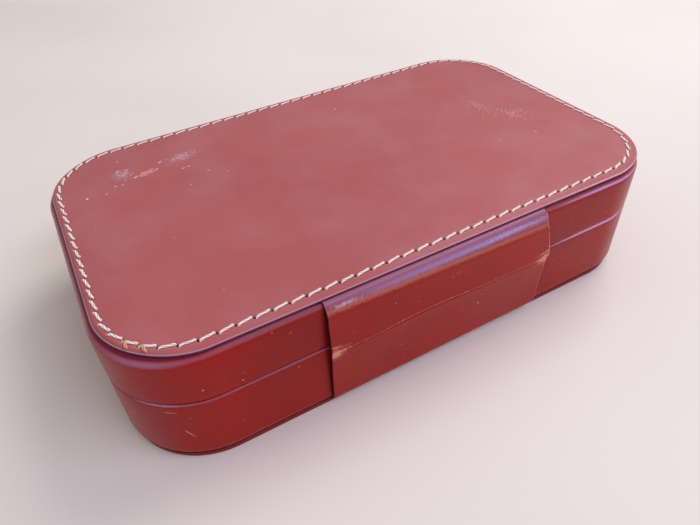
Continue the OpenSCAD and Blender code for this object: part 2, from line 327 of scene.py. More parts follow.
@dataclass(frozen=True)
class CaseSizes:
    """Sizes that several pieces share, read from the CAD nodes."""

    outline: Outline  # rounded rectangle over the side leather
    skin_low: float  # height of the base leather's turned-in underside
    base_rim: float  # height of the base's rim at the seam
    lid_rim: float  # height of the lid's rim at the seam
    skin_high: float  # height of the lid leather's turned-in upper side
    top_face: float  # height of the top panel's face
    shoulder_r: float  # radius with which the leather turns in under a panel
    rim_r: float  # radius with which it rolls over a rim
    panel_inset: float  # how far a panel's edge lies in from the wall
    frame_in: float  # how far the walls' inner side lies in
    lining_in: float  # how far the linings' inner side lies in
    axis: tuple[float, float]  # the hinge's place, as y and z

    @classmethod
    def from_frame(cls) -> "CaseSizes":
        """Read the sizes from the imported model.

        Returns:
            The sizes.
        """
        base_low, base_high = box_mm("base_side_leather")
        lid_low, lid_high = box_mm("lid_side_leather")
        panel, board, divider = (box_mm(n)[1] for n in ("top_panel", "base_floor_board", "divider_2"))
        pin = np.mean(box_mm("hinge_pin"), axis=0)
        corner_r = base_high[1] - cls.flat_end("base_side_leather", 0, 1)
        return cls(
            outline=Outline(2 * base_high[0], 2 * base_high[1], corner_r), skin_low=base_low[2],
            base_rim=base_high[2], lid_rim=lid_low[2], skin_high=lid_high[2], top_face=panel[2],
            shoulder_r=lid_high[2] - cls.flat_end("lid_side_leather", 0, 2),
            rim_r=base_high[2] - cls.flat_end("base_side_leather", 0, 2),
            panel_inset=base_high[1] - panel[1], frame_in=base_high[1] - board[1],
            lining_in=base_high[1] - divider[1], axis=(pin[1], pin[2])
        )

    @staticmethod
    def flat_end(node: str, face: int, along: int) -> float:
        """How far a node's outermost flat face reaches, where its rounded edge begins.

        Args:
            node: Name of the CAD node.
            face: Axis that the flat face looks along.
            along: Axis to measure.

        Returns:
            The largest place of that face along the second axis, in millimetres.
        """
        places = np.array([v.co for v in NODES[node].data.vertices]) / MM
        outermost = places[:, face] > places[:, face].max() - 0.01
        return places[outermost][:, along].max()


# ---- finishes ----


def linear(hex_colour: str) -> tuple[float, float, float, float]:
    """Turn an sRGB hex colour to linear values.

    Args:
        hex_colour: The colour, such as "#A95856".

    Returns:
        Red, green, blue and an alpha of 1.
    """
    parts = [int(hex_colour[i : i + 2], 16) / 255 for i in (1, 3, 5)]
    red, green, blue = (p / 12.92 if p <= 0.04045 else ((p + 0.055) / 1.055) ** 2.4 for p in parts)
    return red, green, blue, 1.0


class Tree:
    """The node tree of one material, which ends in a Principled shader."""

    def __init__(self, name: str, **surface: object) -> None:
        """Start a material.

        Args:
            name: Name of the material.
            surface: Values of the shader's own sockets that are the same all over.
        """
        self.material = bpy.data.materials.new(name)
        self.material.use_nodes = True
        self.nodes = self.material.node_tree.nodes
        self.links = self.material.node_tree.links
        self.shader = self.nodes["Principled BSDF"]
        for key, value in surface.items():
            self.shader.inputs[key.replace("_", " ").title().replace("Ior", "IOR")].default_value = value

    def add(
        self, kind: str, inputs: dict[int | str, object] | None = None, **properties: object
    ) -> bpy.types.Node:
        """Add a node with its settings and links.

        Args:
            kind: Type of the node, without ShaderNode in front.
            inputs: For each input socket its value, its hex colour, or the socket that leads into it.
            properties: Its own properties, such as the operation.

        Returns:
            The node.
        """
        node = self.nodes.new(f"ShaderNode{kind}")
        for key, value in properties.items():
            setattr(node, key, value)
        for key, value in (inputs or {}).items():
            if isinstance(value, bpy.types.NodeSocket):
                self.links.new(value, node.inputs[key])
            else:
                node.inputs[key].default_value = linear(value) if isinstance(value, str) else value
        return node

    def place(self, held: str = "") -> bpy.types.NodeSocket:
        """Place on the piece in millimetres.

        Args:
            held: Attribute that holds the place at rest, or empty for the piece's own axes.

        Returns:
            The place.
        """
        if held:
            source = self.add("Attribute", attribute_name=held).outputs["Vector"]
        else:
            source = self.add("TexCoord").outputs["Object"]
        return self.add("VectorMath", {0: source, "Scale": 1 / MM}, operation="SCALE").outputs[0]

    def mottle(
        self, place: bpy.types.NodeSocket, size: float, detail: float = 3.0,
        stretch: tuple[float, float, float] = (1.0, 1.0, 1.0)
    ) -> bpy.types.NodeSocket:
        """A pattern of soft patches.

        Args:
            place: Place on the piece in millimetres.
            size: Size of a patch in millimetres.
            detail: How many times it breaks up into finer patches.
            stretch: How many times longer a patch is along each axis.

        Returns:
            A value about 0.5, mostly from 0.3 to 0.7.
        """
        cells = {0: place, 1: [1 / (size * s) for s in stretch]}
        noise = {0: self.add("VectorMath", cells, operation="MULTIPLY").outputs[0]}
        return self.add("TexNoise", {**noise, "Scale": 1.0, "Detail": detail}).outputs[0]

    def lay(
        self, under: bpy.types.NodeSocket | str, over: bpy.types.NodeSocket | str,
        value: bpy.types.NodeSocket, start: float, end: float, cover: float = 1.0
    ) -> bpy.types.NodeSocket:
        """Lay one colour over another where a value lies past a rim, each a hex colour or a socket.

        Args:
            under: The colour underneath.
            over: The colour laid over it.
            value: What decides where.
            start: Value at which the upper colour begins.
            end: Value at which it is full.
            cover: How much of the colour underneath it then hides.

        Returns:
            The colour.
        """
        limits = {"Value": value, "From Min": start, "From Max": end, "To Max": cover}
        share = self.add("MapRange", limits, interpolation_type="SMOOTHSTEP").outputs[0]
        return self.add("Mix", {0: share, 6: under, 7: over}, data_type="RGBA").outputs[2]

    def finish(
        self, colour: bpy.types.NodeSocket, wipes: bpy.types.NodeSocket, roughness: tuple[float, float],
        height: bpy.types.NodeSocket, depth: float
    ) -> bpy.types.Material:
        """Lead colour, roughness and relief to the shader.

        Args:
            colour: Base colour.
            wipes: Pattern by which the roughness varies.
            roughness: Lowest and highest roughness.
            height: Relief from 0 to 1.
            depth: Depth of that relief in millimetres.

        Returns:
            The finished material.
        """
        low, high = roughness
        limits = {"Value": wipes, "From Min": 0.3, "From Max": 0.7, "To Min": low, "To Max": high}
        rough = self.add("MapRange", limits).outputs[0]
        bump = self.add("Bump", {"Strength": 1.0, "Distance": depth * MM, "Height": height}).outputs[0]
        for key, socket in {"Base Color": colour, "Roughness": rough, "Normal": bump}.items():
            self.links.new(socket, self.shader.inputs[key])
        return self.material


@dataclass(frozen=True)
class Mark:
    """A scuff, scratch, speck or flake, or a painted highlight, reflection or shade: a ragged patch of
    another colour.
    """

    at: tuple[float, float, float]  # its middle, in millimetres
    reach: tuple[float, float, float]  # its half sizes along X, Y and Z before it is turned
    colour: str
    cover: float = 0.8  # how much of the finish it covers, from 0 to 1
    turn: tuple[float, float, float] = (0.0, 0.0, 0.0)  # turn about X, Y and Z in degrees
    patchy: float = 0.5  # how broken up it is: 0 is whole, and 4 is sparse flecks
    soft: float = 0.25  # width of its rim, as a share of its size

    def draw_on(
        self, tree: Tree, colour: bpy.types.NodeSocket, place: bpy.types.NodeSocket,
        ragged: bpy.types.NodeSocket
    ) -> bpy.types.NodeSocket:
        """Lay the mark over a colour.

        Args:
            tree: The tree to draw it in.
            colour: The colour underneath.
            place: Place on the piece in millimetres.
            ragged: Pattern that breaks up its rim.

        Returns:
            The colour with the mark on it.
        """
        turn = [math.radians(a) for a in self.turn]
        box = {"Vector": place, "Location": self.at, "Rotation": turn, "Scale": self.reach}
        local = tree.add("Mapping", box, vector_type="TEXTURE").outputs[0]
        away = tree.add("VectorMath", {0: local}, operation="LENGTH").outputs["Value"]
        broken = {0: ragged, 1: 4.0 * self.patchy, 2: away}
        rim = tree.add("Math", broken, operation="MULTIPLY_ADD").outputs[0]
        end = 0.9 + 2.0 * self.patchy
        return tree.lay(colour, self.colour, rim, end, end - self.soft, self.cover)


# Reach of a mark that runs all round the case, and of one that goes through the leather.
ALL_ROUND = 1000.0
THROUGH = 9.0


class Finish:
    """What a piece is made of. A subclass draws it, and the material is made only once."""

    name: str

    def material(self) -> bpy.types.Material:
        """The Blender material of this finish."""
        return bpy.data.materials.get(self.name) or self.draw()

    def draw(self) -> bpy.types.Material:
        """Draw the material."""
        raise NotImplementedError


@dataclass(frozen=True)
class GlazedCalf(Finish):
    """Box calf: chrome-tanned calf dyed through, plated smooth and glazed with a thin finish.

    The eye gets one deep colour with a tight satin gloss and pores too fine to see singly. Handling
    leaves a greyer film, pale specks and small marks, and some marks are painted highlights,
    reflections and shade. The vertices' own values say where an edge is cut, where an awl hole goes
    in and where a crease is worn; the awl holes are darkened as painted shade, and on the walls the
    cut value marks a groove that is darkened as painted shade.
    """

    name: str
    colour: str  # colour of the glazed face
    deep: str  # colour of its darker clouds
    film: str  # colour of the dull film that handling leaves
    film_cover: float  # most that the film covers, from 0 to 1
    roughness: float
    # On the walls the edge colour is painted shade in the groove under the top panel.
    edge: str = "#611A26"  # colour of a cut edge
    worn: str = "#D69272"  # colour of bare leather where the glaze is worn off
    specular: float = 0.3
    marks: tuple[Mark, ...] = ()
    held: str = ""  # attribute that holds the place at rest, or empty for the piece's own axes

    def draw(self) -> bpy.types.Material:
        """Draw the material.

        Returns:
            The material.
        """
        tree = Tree(self.name, specular_ior_level=self.specular, specular_tint=linear("#EFE9FF"))
        worn, cut, pit = (
            tree.add("Attribute", attribute_name=held).outputs["Fac"] for held in ("worn", "cut", "pit")
        )
        place = tree.place(self.held)
        # Clouds of a hide's width, where the dye took more or less.
        clouds = tree.mottle(place, 70.0, 2.0)
        colour = tree.lay(self.colour, self.deep, clouds, 0.35, 0.7)
        film = tree.mottle(place, 34.0, 7.0)
        colour = tree.lay(colour, self.film, film, 0.3, 0.75, self.film_cover)
        # Dust specks of 0.3 mm, in a third of the cells of 7 mm.
        cells = tree.add("TexVoronoi", {"Vector": place, "Scale": 1 / 7.0}).outputs
        chance = tree.add("SeparateColor", {0: cells["Color"]}).outputs[0]
        chosen = {0: chance, 1: -10.0, 2: 6.5}
        bare = tree.add("Math", chosen, operation="MULTIPLY_ADD", use_clamp=True).outputs[0]
        away = tree.add("Math", {0: cells["Distance"], 1: bare}, operation="ADD").outputs[0]
        colour = tree.lay(colour, "#D9A99C", away, 0.06, 0.035, 0.5)
        # Hairline scratches, 0.5 mm by 6 mm, few and far between.
        hairlines = tree.mottle(place, 0.6, 2.0, (10.0, 1.0, 1.6))
        colour = tree.lay(colour, "#CF9F96", hairlines, 0.73, 0.8, 0.35)
        ragged = tree.mottle(place, 0.9, 5.0)
        for mark in self.marks:
            colour = mark.draw_on(tree, colour, place, ragged)
        # Where it is worn, the glaze goes first and the dyed grain after it.
        rubbed = tree.add("Math", {0: ragged, 1: worn}, operation="ADD").outputs[0]
        colour = tree.lay(colour, "#B5605E", rubbed, 0.7, 1.0, 0.55)
        colour = tree.lay(colour, self.worn, rubbed, 1.0, 1.15, 0.9)
        colour = tree.lay(colour, self.edge, cut, 0.0, 1.0)
        # Painted shade: the awl holes are darkened nearly to black.
        colour = tree.lay(colour, "#1C0A0A", pit, 0.1, 0.6)
        smears = tree.mottle(place, 18.0, 4.0)
        # Real pores are about 0.2 mm apart; they are drawn at 0.7 mm so that they show at all.
        grain = tree.mottle(place, 0.7, 2.0)
        return tree.finish(colour, smears, (self.roughness - 0.04, self.roughness + 0.05), grain, 0.012)


@dataclass(frozen=True)
class WaxedLinen(Finish):
    """Linen thread: three plies laid up, waxed, and pulled tight by hand.

    The eye gets an off-white cord, soiled in patches, with painted shade between its plies and a dull
    waxy gloss.
    """

    name: str = "linen_waxed_three_ply"
    colour: str = "#F8ECE6"
    dirt_and_shade: str = "#B09488"

    def draw(self) -> bpy.types.Material:
        """Draw the material.

        Returns:
            The material.
        """
        tree = Tree(self.name, specular_ior_level=0.4, sheen_weight=0.15, sheen_roughness=0.4)
        place = tree.place()
        lay = tree.add("Attribute", attribute_name="lay").outputs["Fac"]
        patches = tree.mottle(place, 4.0, 3.0)
        colour = tree.lay(self.colour, self.dirt_and_shade, patches, 0.5, 0.75, 0.35)
        # Painted shade: the gaps between the plies take the darker colour.
        colour = tree.lay(self.dirt_and_shade, colour, lay, 0.0, 0.55)
        # Single fibres are 0.02 mm; they are drawn at 0.15 mm so that they show at all.
        fibres = tree.mottle(place, 0.15, 2.0)
        return tree.finish(colour, patches, (0.5, 0.68), fibres, 0.02)


@dataclass(frozen=True)
class Suede(Finish):
    """Suede split: the flesh side of calf, buffed to a short nap.

    The eye gets a soft dull surface, lighter or darker where the nap was stroked, and no gloss.
    """

    name: str
    colour: str = "#A8804F"
    stroked: str = "#8E6A40"
    pale: str = "#C49B6C"

    def draw(self) -> bpy.types.Material:
        """Draw the material.

        Returns:
            The material.
        """
        tree = Tree(self.name, specular_ior_level=0.15, sheen_weight=0.5, sheen_roughness=0.45)
        place = tree.place()
        strokes = tree.mottle(place, 40.0, 1.0, (1.0, 0.5, 0.5))
        colour = tree.lay(self.colour, self.stroked, strokes, 0.35, 0.7, 0.6)
        rubbed = tree.mottle(place, 14.0, 3.0)
        colour = tree.lay(colour, self.pale, rubbed, 0.4, 0.8, 0.45)
        # The nap is about 0.1 mm long; its tufts are drawn at 0.5 mm so that they show at all.
        nap = tree.mottle(place, 0.5, 5.0)
        colour = tree.lay(colour, self.stroked, nap, 0.5, 0.75, 0.45)
        return tree.finish(colour, rubbed, (0.9, 0.98), nap, 0.08)


@dataclass(frozen=True)
class BentBeech(Finish):
    """Beech: planed boards and steamed, bent strips, left raw inside the leather.

    The eye gets pale pinkish tan wood with straight grain and short darker flecks.
    """

    name: str = "beech_steam_bent"
    colour: str = "#CFA877"
    grain: str = "#AD8352"

    def draw(self) -> bpy.types.Material:
        """Draw the material.

        Returns:
            The material.
        """
        tree = Tree(self.name, specular_ior_level=0.35)
        place = tree.place()
        # Growth rings 1.5 mm apart, drawn out along the case; flecks of 0.4 by 4 mm.
        rings = tree.mottle(place, 1.5, 3.0, (40.0, 1.0, 1.0))
        flecks = tree.mottle(place, 0.4, 2.0, (10.0, 1.0, 1.0))
        colour = tree.lay(self.colour, self.grain, rings, 0.35, 0.7, 0.8)
        colour = tree.lay(colour, self.grain, flecks, 0.6, 0.75, 0.6)
        return tree.finish(colour, rings, (0.55, 0.7), flecks, 0.03)


@dataclass(frozen=True)
class PulpCard(Finish):
    """Grey-board: pulp pressed and dried in sheets.

    The eye gets a dull buff grey with fibres and specks in it.
    """

    name: str = "pulp_card_pressed"
    colour: str = "#BFB196"
    fibre: str = "#9A8B70"

    def draw(self) -> bpy.types.Material:
        """Draw the material.

        Returns:
            The material.
        """
        tree = Tree(self.name, specular_ior_level=0.2)
        place = tree.place()
        fibres = tree.mottle(place, 0.8, 4.0, (3.0, 1.0, 1.0))
        clouds = tree.mottle(place, 12.0)
        colour = tree.lay(self.colour, self.fibre, fibres, 0.55, 0.75, 0.8)
        return tree.finish(colour, clouds, (0.85, 0.95), fibres, 0.04)


@dataclass(frozen=True)
class DrawnBrass(Finish):
    """Brass: rolled leaves, a drawn pin and turned screws, wiped but not lacquered.

    The eye gets warm yellow metal with fine drawing lines and browner tarnish.
    """

    name: str = "brass_drawn"
    colour: str = "#C8A55A"
    tarnish: str = "#8A6A34"

    def draw(self) -> bpy.types.Material:
        """Draw the material.

        Returns:
            The material.
        """
        tree = Tree(self.name, metallic=1.0)
        place = tree.place()
        # Drawing lines are about 0.05 mm apart; they are drawn at 0.25 mm so that they show at all.
        lines = tree.mottle(place, 0.25, 2.0, (60.0, 1.0, 1.0))
        patches = tree.mottle(place, 7.0, 4.0)
        colour = tree.lay(self.colour, self.tarnish, patches, 0.5, 0.75, 0.8)
        return tree.finish(colour, patches, (0.24, 0.45), lines, 0.01)


# ---- the panels and their stitching ----


@dataclass
class StitchRow:
    """The saddle-stitched row round the top panel."""

    case: CaseSizes
    inset: float = 5.5  # distance of the row from the outer face of the wall
    step: float = 6.8  # distance between awl holes, before it is fitted to a whole number
    awl_length: float = 2.2
    awl_width: float = 0.9
    awl_angle: float = 120.0  # angle between an awl hole and the row, in degrees
    thread_width: float = 1.1  # width of the thread as it lies pressed on the leather
    thread_height: float = 0.52  # its height there
    lay_length: float = 2.6  # length in which its plies turn once
    count: int = field(init=False)

    def __post_init__(self) -> None:
        """Fit a whole number of stitches to the row."""
        length = sum(self.case.outline.stretches(self.inset))
        self.count = 2 * round(length / 2 / self.step)
        self.step = length / self.count

    def slit(self) -> tuple[float, float]:
        """Direction of an awl hole: along the row, and in towards the middle of the panel."""
        angle = math.radians(self.awl_angle)
        return math.cos(angle), math.sin(angle)

    def holes(self) -> Stations:
        """Stations of the awl holes."""
        return self.case.outline.walk([(i + 0.5) * self.step for i in range(self.count)], self.inset)

    def across_hole(self, along: np.ndarray, inward: np.ndarray) -> tuple[np.ndarray, np.ndarray]:
        """Place near an awl hole, measured along the slit and across it."""
        cos, sin = self.slit()
        return along * cos + inward * sin, inward * cos - along * sin

    def thread_points(self, end: int) -> np.ndarray:
        """Where threads go down in the holes.

        Args:
            end: 1 for the ends towards the middle of the panel, else -1.

        Returns:
            One row of x and y for each hole.
        """
        holes = self.holes()
        heading = np.stack([-holes.out[:, 1], holes.out[:, 0]], axis=1)
        cos, sin = self.slit()
        reach = 0.43 * self.awl_length * end
        return holes.at(self.inset) + reach * (cos * heading - sin * holes.out)

    def stitches(self) -> tuple[list[Grid], np.ndarray]:
        """All stitches of the row.

        Returns:
            Their grids, and for each vertex how far it stands out of the gaps between plies.
        """
        starts = self.thread_points(-1)
        ends = np.roll(self.thread_points(1), -1, axis=0)
        dice = random.Random(4)
        grids, lay = [], []
        for start, end in zip(starts, ends):
            grid, plies = self.thread(start, end, self.case.top_face, dice)
            grids.append(grid)
            lay.append(plies)
        return grids, np.concatenate(lay)

    def thread(
        self, start: np.ndarray, end: np.ndarray, face: float, dice: random.Random
    ) -> tuple[Grid, np.ndarray]:
        """One stitch: a twisted thread that comes up at start, lies on the face and goes down at end.

        Args:
            start: x and y where it comes up.
            end: x and y where it goes down.
            face: Height of the face that it lies on.
            dice: Source of small differences between stitches.

        Returns:
            Its grid, and how far each vertex stands out of the gaps between plies.
        """
        rows, columns = 26, 15
        w = np.linspace(-1.0, 1.0, rows)
        chord = end - start
        length = float(np.hypot(*chord))
        ahead = chord / length
        side = np.array([-ahead[1], ahead[0]])
        share = 0.5 + 0.5 * w * (1.25 - 0.25 * w * w)
        lift = 0.12 + dice.uniform(-0.03, 0.03)
        sway = dice.uniform(0.16, 0.28)
        middle = start + share[:, None] * chord
        middle = middle - (sway * np.sin(math.pi * w) * (1 - w**4))[:, None] * side
        height = face + lift - (lift + 0.9) * np.abs(w) ** 9
        spine = np.concatenate([middle, height[:, None]], axis=1)
        tangent = np.gradient(spine, axis=0)
        tangent /= np.linalg.norm(tangent, axis=1)[:, None]
        across = np.array([side[0], side[1], 0.0])
        above = np.cross(tangent, across)
        above /= np.linalg.norm(above, axis=1)[:, None]
        angle = np.linspace(0, 2 * math.pi, columns, endpoint=False)
        twist = (share * length / self.lay_length * 2 * math.pi + dice.uniform(0, 6))[:, None]
        plies = np.cos(3 * angle[None] - twist)
        radius = 1.0 + 0.1 * plies
        narrow = (1.0 - 0.3 * np.abs(w) ** 6)[:, None]
        half_w, half_h = self.thread_width / 2, self.thread_height / 2
        points = (
            spine[:, None]
            + (np.cos(angle) * radius * half_w * narrow)[..., None] * across
            + (np.sin(angle) * radius * half_h)[..., None] * above[:, None]
        )
        return Grid(points), (0.5 + 0.5 * plies).ravel()


@dataclass
class Panels:
    """The flat leather panels on the lid and under the base, and the stitching of the upper one."""

    case: CaseSizes
    row: StitchRow
    edge_r: float = 0.45  # radius of the burnished edge
    groove: float = 0.12  # depth of the creased line that the stitches lie in
    dimple: float = 0.2  # depth to which a tight stitch pulls the leather down
    pit: float = 1.0  # depth that shows in an awl hole
    slope: float = 1.4  # how far outside the row the face starts to droop
    droop: float = 0.8  # how far the rim of the top panel droops
    short: float = 1.3  # how far the top panel's edge is drawn in at the +X end
    core_inset: float = 27.0  # inset at which the rings stop following the outline

    def columns(self) -> np.ndarray:
        """Places of the columns of the top panel.

        Returns:
            Distances along the row, closer together at each hole.
        """
        # These places round a hole are for a step of 6.84 mm.
        near = np.array([0.1, 0.3, 0.5, 0.75, 1.05, 1.5, 2.2, 3.0]) / 6.84 * self.row.step
        offsets = np.concatenate([-near[::-1], near])
        holes = (np.arange(self.row.count) + 0.5) * self.row.step
        return (holes[:, None] + offsets[None]).ravel()

    def edge_section(self, high: float, thickness: float) -> list[tuple[float, float]]:
        """Section of a burnished edge.

        Args:
            high: Height of the face.
            thickness: Thickness of the leather.

        Returns:
            Insets and heights, from the underside to the face.
        """
        inset, r = self.case.panel_inset, self.edge_r
        low = high - thickness
        return [
            (inset + 4.0, low), (inset + 1.5, low), *arc((inset + r, low + r), r, 270, 180, 5),
            *arc((inset + r, high - r), r, 180, 90, 6)
        ]

    def face_insets(self) -> list[float]:
        """Insets of the rings on the face.

        Returns:
            The insets, closer together over the row of stitches.
        """
        inset = self.case.panel_inset
        outer = [inset + v for v in (0.9, 1.3, 1.8, 2.2, 2.5)]
        row = [self.row.inset + v for v in np.arange(-1.45, 1.5, 0.17)]
        inner = [self.row.inset + v for v in (1.8, 2.3, 3.0, 4.0, 5.5, 7.5, 10.0, 13.0, 17.0)]
        return [*outer, *row, *inner, self.core_inset]

    def at_rim(self, inset: float) -> float:
        """How much of the rim's droop there is at an inset: 1 at the panel's edge and 0 near the row."""
        outer = self.case.panel_inset
        return 1 - smooth_step((inset - outer) / (self.row.inset - self.slope - outer))

    def cut_short(self, stations: Stations, inset: float) -> np.ndarray:
        """Points at an inset, drawn in near the rim at the +X end, where the hide was cut short.

        Args:
            stations: Where round the case.
            inset: Distance in from the outer face.

        Returns:
            One row of x and y for each station.
        """
        end = smooth_step(1.3 * stations.out[:, 0])
        return stations.at(inset) - stations.out * (self.short * self.at_rim(inset) * end)[:, None]

    def top(self) -> None:
        """The top panel, with its groove, its awl holes and its slightly crowned face."""
        case, row = self.case, self.row
        distances = self.columns()
        stations = case.outline.walk(distances, row.inset)
        flat = np.ones(len(distances))
        rim = case.top_face - self.droop
        edge = self.edge_section(rim, rim - box_mm("top_panel")[0][2])
        rings = [np.column_stack([self.cut_short(stations, inset), z * flat]) for inset, z in edge]
        pits = [0 * flat] * len(rings)
        along = (distances + row.step / 2) % row.step
        along = np.where(along > row.step / 2, along - row.step, along)
        for inset in self.face_insets():
            inward = inset - row.inset
            a, b = row.across_hole(along, inward * flat)
            inside = 1.0 - np.abs(a) / (row.awl_length / 2) - np.abs(b) / (row.awl_width / 2)
            hole = smooth_step(inside * 2.5 + 0.35)
            # A dimple reaches 1.5 mm along the hole and 0.8 mm across it, and the groove 1 mm.
            depth = self.pit * hole + self.dimple * bell(a, 1.5) * bell(b, 0.8)
            depth += self.groove * bell(inward, 1.0) + self.droop * self.at_rim(inset - self.edge_r)
            ring = np.column_stack([self.cut_short(stations, inset), case.top_face - depth])
            rings.append(self.uneven(ring, smooth_step((inward - 1.0) / 14.0)))
            pits.append(hole)
        for draw_in in (0.08, 0.18, 0.3, 0.44, 0.6, 0.76, 0.9):
            ring = np.column_stack([stations.at(self.core_inset, draw_in), case.top_face * flat])
            rings.append(self.uneven(ring, (1 - draw_in) ** 0.5))
            pits.append(0 * flat)
        make_piece(
            "top_panel_leather", [Grid(np.array(rings))], self.top_calf(), "panel_leather", ["top_panel"],
            Half.LID, {"pit": np.array(pits).ravel(), "cut": self.cut_faces(len(edge), rings)}
        )

    def uneven(self, ring: np.ndarray, share: float) -> np.ndarray:
        """Raise and lower a ring of the face by a share of 0.05 mm, as a hide varies."""
        ring[:, 2] += 0.05 * ripple(ring, 34.0, 3.1) * share
        return ring

    def cut_faces(self, edge: int, rings: list[np.ndarray]) -> np.ndarray:
        """Value for each vertex of a panel: 1 on its underside and its cut edge, else 0.

        Args:
            edge: How many of its rings make up the underside and the edge.
            rings: Its rings.

        Returns:
            The values.
        """
        cut = np.zeros((len(rings), len(rings[0])))
        # The last steps of the upper arc are on the face.
        cut[: edge - 4] = 1.0
        return cut.ravel()

    def top_calf(self) -> GlazedCalf:
        """Box calf of the top panel: dusty and rubbed, with the marks of use and painted light along its
        rim.

        Returns:
            The finish.
        """
        z = self.case.top_face
        pale, tan, haze, far, speck = "#E0B4B6", "#CC9284", "#A08A9C", "#CDA6A4", "#F0D5CC"
        # Painted light along the rim: a darker band of painted shade where the rim droops away, a thin
        # painted highlight on its arris, and a brighter stretch of it towards -X on the hinge side.
        marks = [
            Mark((0, 0, z - 1.4), (ALL_ROUND, ALL_ROUND, 1.1), "#7C4456", 0.6, patchy=0.1, soft=1.0),
            Mark((0, 0, z - 0.91), (ALL_ROUND, ALL_ROUND, 0.19), "#B88CA8", 0.7, patchy=0.05, soft=0.5),
            Mark((-100, 79, z - 0.91), (60, 9, 0.2), "#E6B0C4", 0.7, patchy=0.05, soft=0.5)
        ]
        # Two scrapes, single specks, the scuffs at the far end and a dark streak: x, y, half sizes,
        # colour, cover, turn, patchy and soft.
        scuffs = (
            (98, -48, 7.5, 9, haze, 0.5, 0, 0.25, 1.1), (68, -48.5, 12, 6.5, haze, 0.6, 8, 0.25, 1.1),
            (97.5, -48, 2.2, 2.2, pale, 0.45, 0, 4.0, 1.0),
            (67.5, -49.5, 3.4, 1.5, pale, 0.5, 8, 4.0, 1.0),
            (87.5, -43.2, 5.5, 2.4, tan, 0.75, 12, 0.6, 0.25),
            (116.3, -36, 0.7, 0.7, speck, 0.9, 0, 0.1, 0.25),
            (-20.8, -51.1, 0.6, 0.6, speck, 0.7, 0, 0.1, 0.25),
            (-97, 7, 3.4, 5.5, far, 0.4, 35, 4.0, 1.5), (-88, -11, 2.6, 4.5, far, 0.35, 10, 4.0, 1.5),
            (-93.5, 28.9, 0.5, 0.7, pale, 0.8, 0, 0.3, 0.25),
            (-81.1, 2.6, 0.4, 0.6, pale, 0.8, 0, 0.3, 0.25),
            (-73, 25.7, 0.4, 0.5, pale, 0.8, 0, 0.3, 0.25),
            (-104.5, 24, 0.5, 5, "#7F4048", 0.5, 20, 0.3, 0.25)
        )
        # Nicks near the scrapes: x, y, half length and turn.
        nicks = (
            (99, -52.3, 1.3, 30), (95.1, -50.9, 1.1, 10), (97.2, -61.7, 0.5, 0), (92.9, -42.1, 1.2, 50),
            (102.7, -39.3, 1.1, 0), (99.4, -39.1, 0.6, 60), (78.7, -49.7, 1.7, 35),
            (82.2, -43.7, 1.9, 30), (70.7, -37.5, 1.3, 0), (67.8, -37.7, 0.9, 35), (60.9, -29, 0.6, 0),
            (53.1, -23.2, 0.5, 0), (107.9, -35, 0.6, 20), (71.8, -21.2, 0.4, 0)
        )
        scuffs += tuple((x, y, a, 0.5, pale, 0.8, turn, 0.4, 0.25) for x, y, a, turn in nicks)
        for x, y, a, b, colour, cover, turn, patchy, soft in scuffs:
            marks.append(Mark((x, y, z), (a, b, THROUGH), colour, cover, (0, 0, turn), patchy, soft))
        # Its colour, paler and duller than the walls', is partly dust and partly a painted sheen of the
        # light on the flat top.
        return GlazedCalf(
            name="box_calf_top_panel", colour="#A95856", deep="#A25252", film="#B07070", film_cover=0.55,
            roughness=0.42, specular=0.25, marks=tuple(marks)
        )

    def bottom(self) -> None:
        """The bottom panel, flat where it rests."""
        low, high = (corner[2] for corner in box_mm("bottom_panel"))
        stations = self.case.outline.even_walk(3.0, 40)
        edge = self.edge_section(high, high - low)
        section = [(inset, low + high - z, 0.0) for inset, z in edge]
        section += [(self.case.panel_inset + v, low, 0.0) for v in (2.4, 4.0, 8.0, 16.0, 26.0)]
        section += [(self.core_inset, low, draw_in) for draw_in in (0.3, 0.6, 0.9)]
        flat = np.ones(len(stations.core))
        rings = [np.column_stack([stations.at(inset, draw_in), z * flat]) for inset, z, draw_in in section]
        calf = GlazedCalf(
            name="box_calf_bottom_panel", colour="#8E1F1A", deep="#7A1B19", film="#94504C",
            film_cover=0.5, roughness=0.42, edge="#7E1A17"
        )
        make_piece(
            "bottom_panel_leather", [Grid(np.array(rings))], calf,
            "panel_leather", ["bottom_panel"], Half.BASE, {"cut": self.cut_faces(len(edge) + 3, rings)}
        )

    def stitching(self) -> None:
        """The saddle stitches, and two short ends of thread where the row was closed."""
        grids, lay = self.row.stitches()
        thread = ("linen_thread", ["top_stitching"], Half.LID, {"lay": lay})
        make_piece("top_saddle_stitching", grids, WaxedLinen(), *thread)
        holes = self.row.holes()
        dice = random.Random(9)
        ends = []
        for i in (self.row.count - 5, self.row.count - 4):
            ahead = np.array([-holes.out[i, 1], holes.out[i, 0]])
            start = holes.at(self.row.inset)[i] + 1.2 * ahead + 0.1 * holes.out[i]
            end = start + 3.0 * ahead + 1.7 * holes.out[i]
            ends.append(self.row.thread(start, end, self.case.top_face + 0.3, dice))
        grids, lays = zip(*ends)
        linen = WaxedLinen("linen_waxed_cut_ends", "#D9A37B", "#9C6A4C")
        thread = ("linen_thread", [], Half.LID, {"lay": np.concatenate(lays)})
        make_piece("thread_ends", grids, linen, *thread)


# ---- the walls ----


